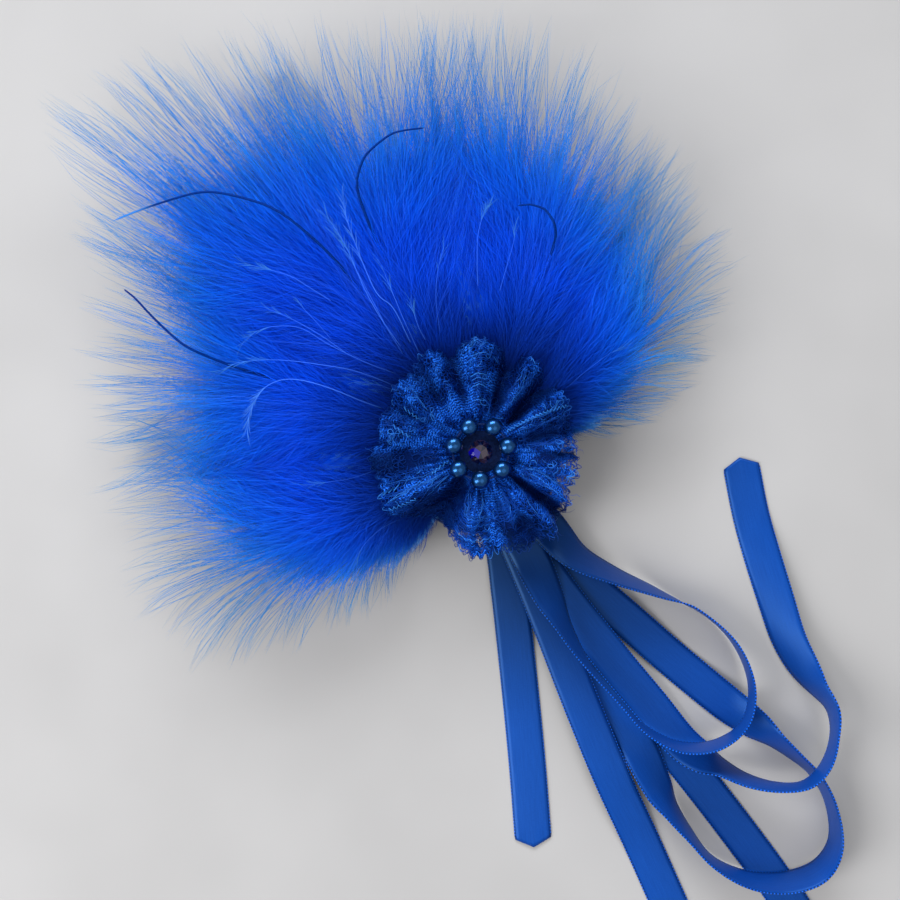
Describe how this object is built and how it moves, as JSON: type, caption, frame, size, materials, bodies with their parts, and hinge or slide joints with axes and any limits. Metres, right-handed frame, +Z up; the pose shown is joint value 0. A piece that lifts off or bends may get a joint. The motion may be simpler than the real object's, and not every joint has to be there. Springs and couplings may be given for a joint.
{
  "type": "feather fascinator",
  "caption": "Lying feather fascinator: fan of blue marabou down, gathered lace rosette with a ring of pearls round a dark cut stone, satin ribbon loops and tails, clip beneath.",
  "frame": {"origin": "on the surface the piece lies on, at the underside of the clip, under the middle of the rosette", "axes": "+Z up out of the rosette's face, +Y towards the tips of the plumes, +X towards the side the ribbons lie on"},
  "size_m": [0.2529, 0.3071, 0.032],
  "materials": {
    "marabou": "matte down",
    "lace": "lace with a slight sheen",
    "satin": "double-faced satin",
    "felt": "felt",
    "thread": "twisted thread",
    "pearl": "pearlescent coat",
    "stone": "polished facets",
    "steel": "satin"
  },
  "bodies": {
    "root": {"hair_clip": "steel", "felt_base": "felt", "lace_rosette": "lace", "bead_thread": "thread", "centre_stone": "stone", "plume_low_1": "marabou", "plume_low_2": "marabou", "plume_low_3": "marabou", "plume_low_4": "marabou", "plume_right": "marabou", "plume_hooked": "marabou", "plume_top": "marabou", "plume_top_left": "marabou", "plume_left": "marabou", "plume_lower_left": "marabou", "ribbon_tail_left": "satin", "ribbon_tail_middle": "satin", "ribbon_tail_right": "satin", "ribbon_loop_small": "satin", "ribbon_loop_large": "satin", "ribbon_long_tail": "satin", "pearl_1": "pearl", "pearl_2": "pearl", "pearl_3": "pearl", "pearl_4": "pearl", "pearl_5": "pearl", "pearl_6": "pearl", "pearl_7": "pearl"}
  },
  "joints": []
}
